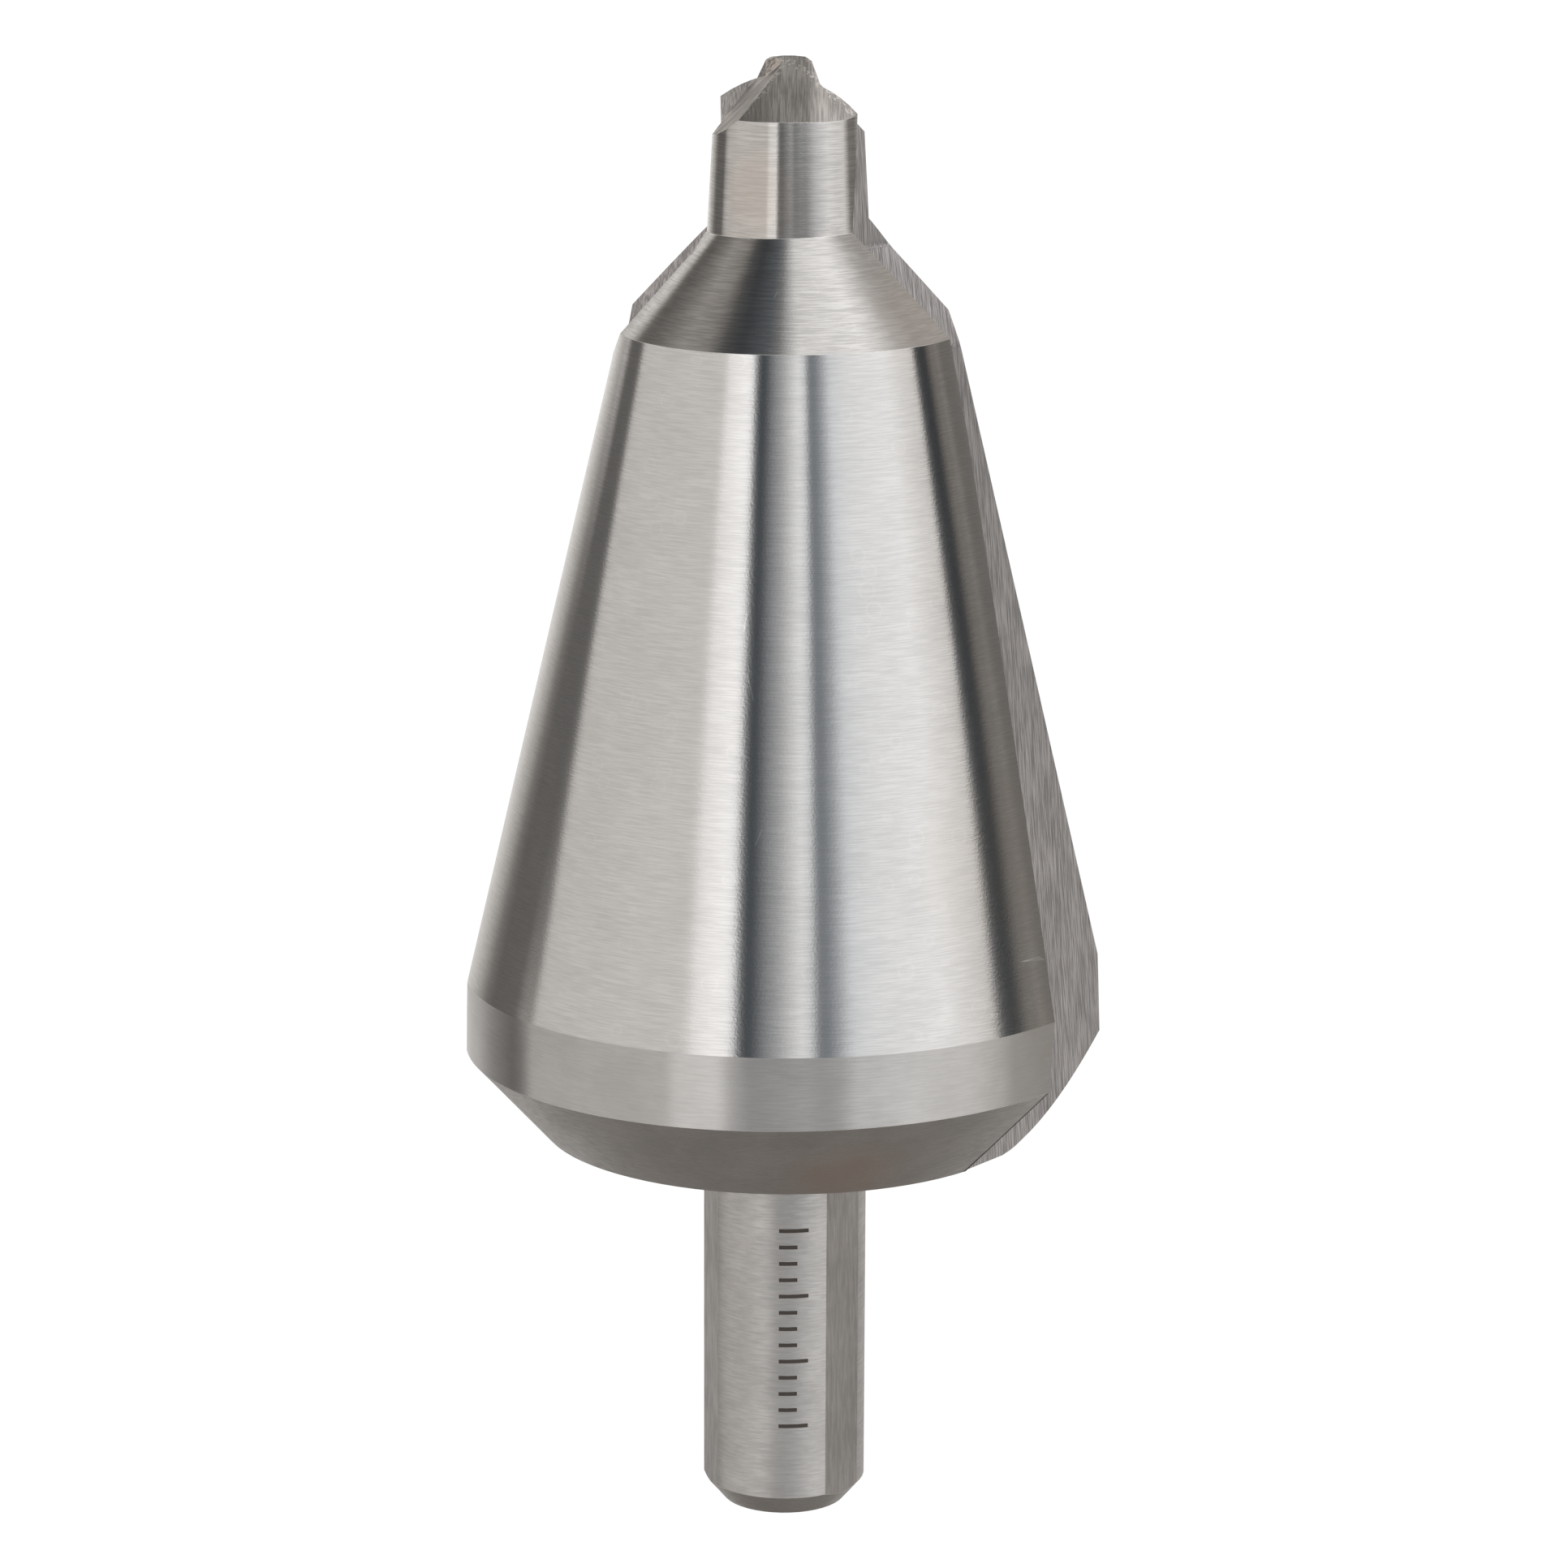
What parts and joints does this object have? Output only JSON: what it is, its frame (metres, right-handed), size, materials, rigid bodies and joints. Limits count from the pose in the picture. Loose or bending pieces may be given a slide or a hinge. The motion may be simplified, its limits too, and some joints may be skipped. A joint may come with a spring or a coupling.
{
  "type": "cone drill bit",
  "caption": "Cone drill bit for sheet metal, with a drill point, a short neck, a long tapered head with straight flutes and a round shank with driving flats.",
  "frame": {"origin": "centre of the end face of the shank, on the axis of the bit", "axes": "+Z along the axis, from the shank to the drill point; -Y towards the land that the picture shows from the front"},
  "size_m": [0.0388, 0.0396, 0.0897],
  "materials": {
    "tool_steel": "ground and turned bare steel"
  },
  "bodies": {
    "root": {"bit": "tool_steel"}
  },
  "joints": []
}
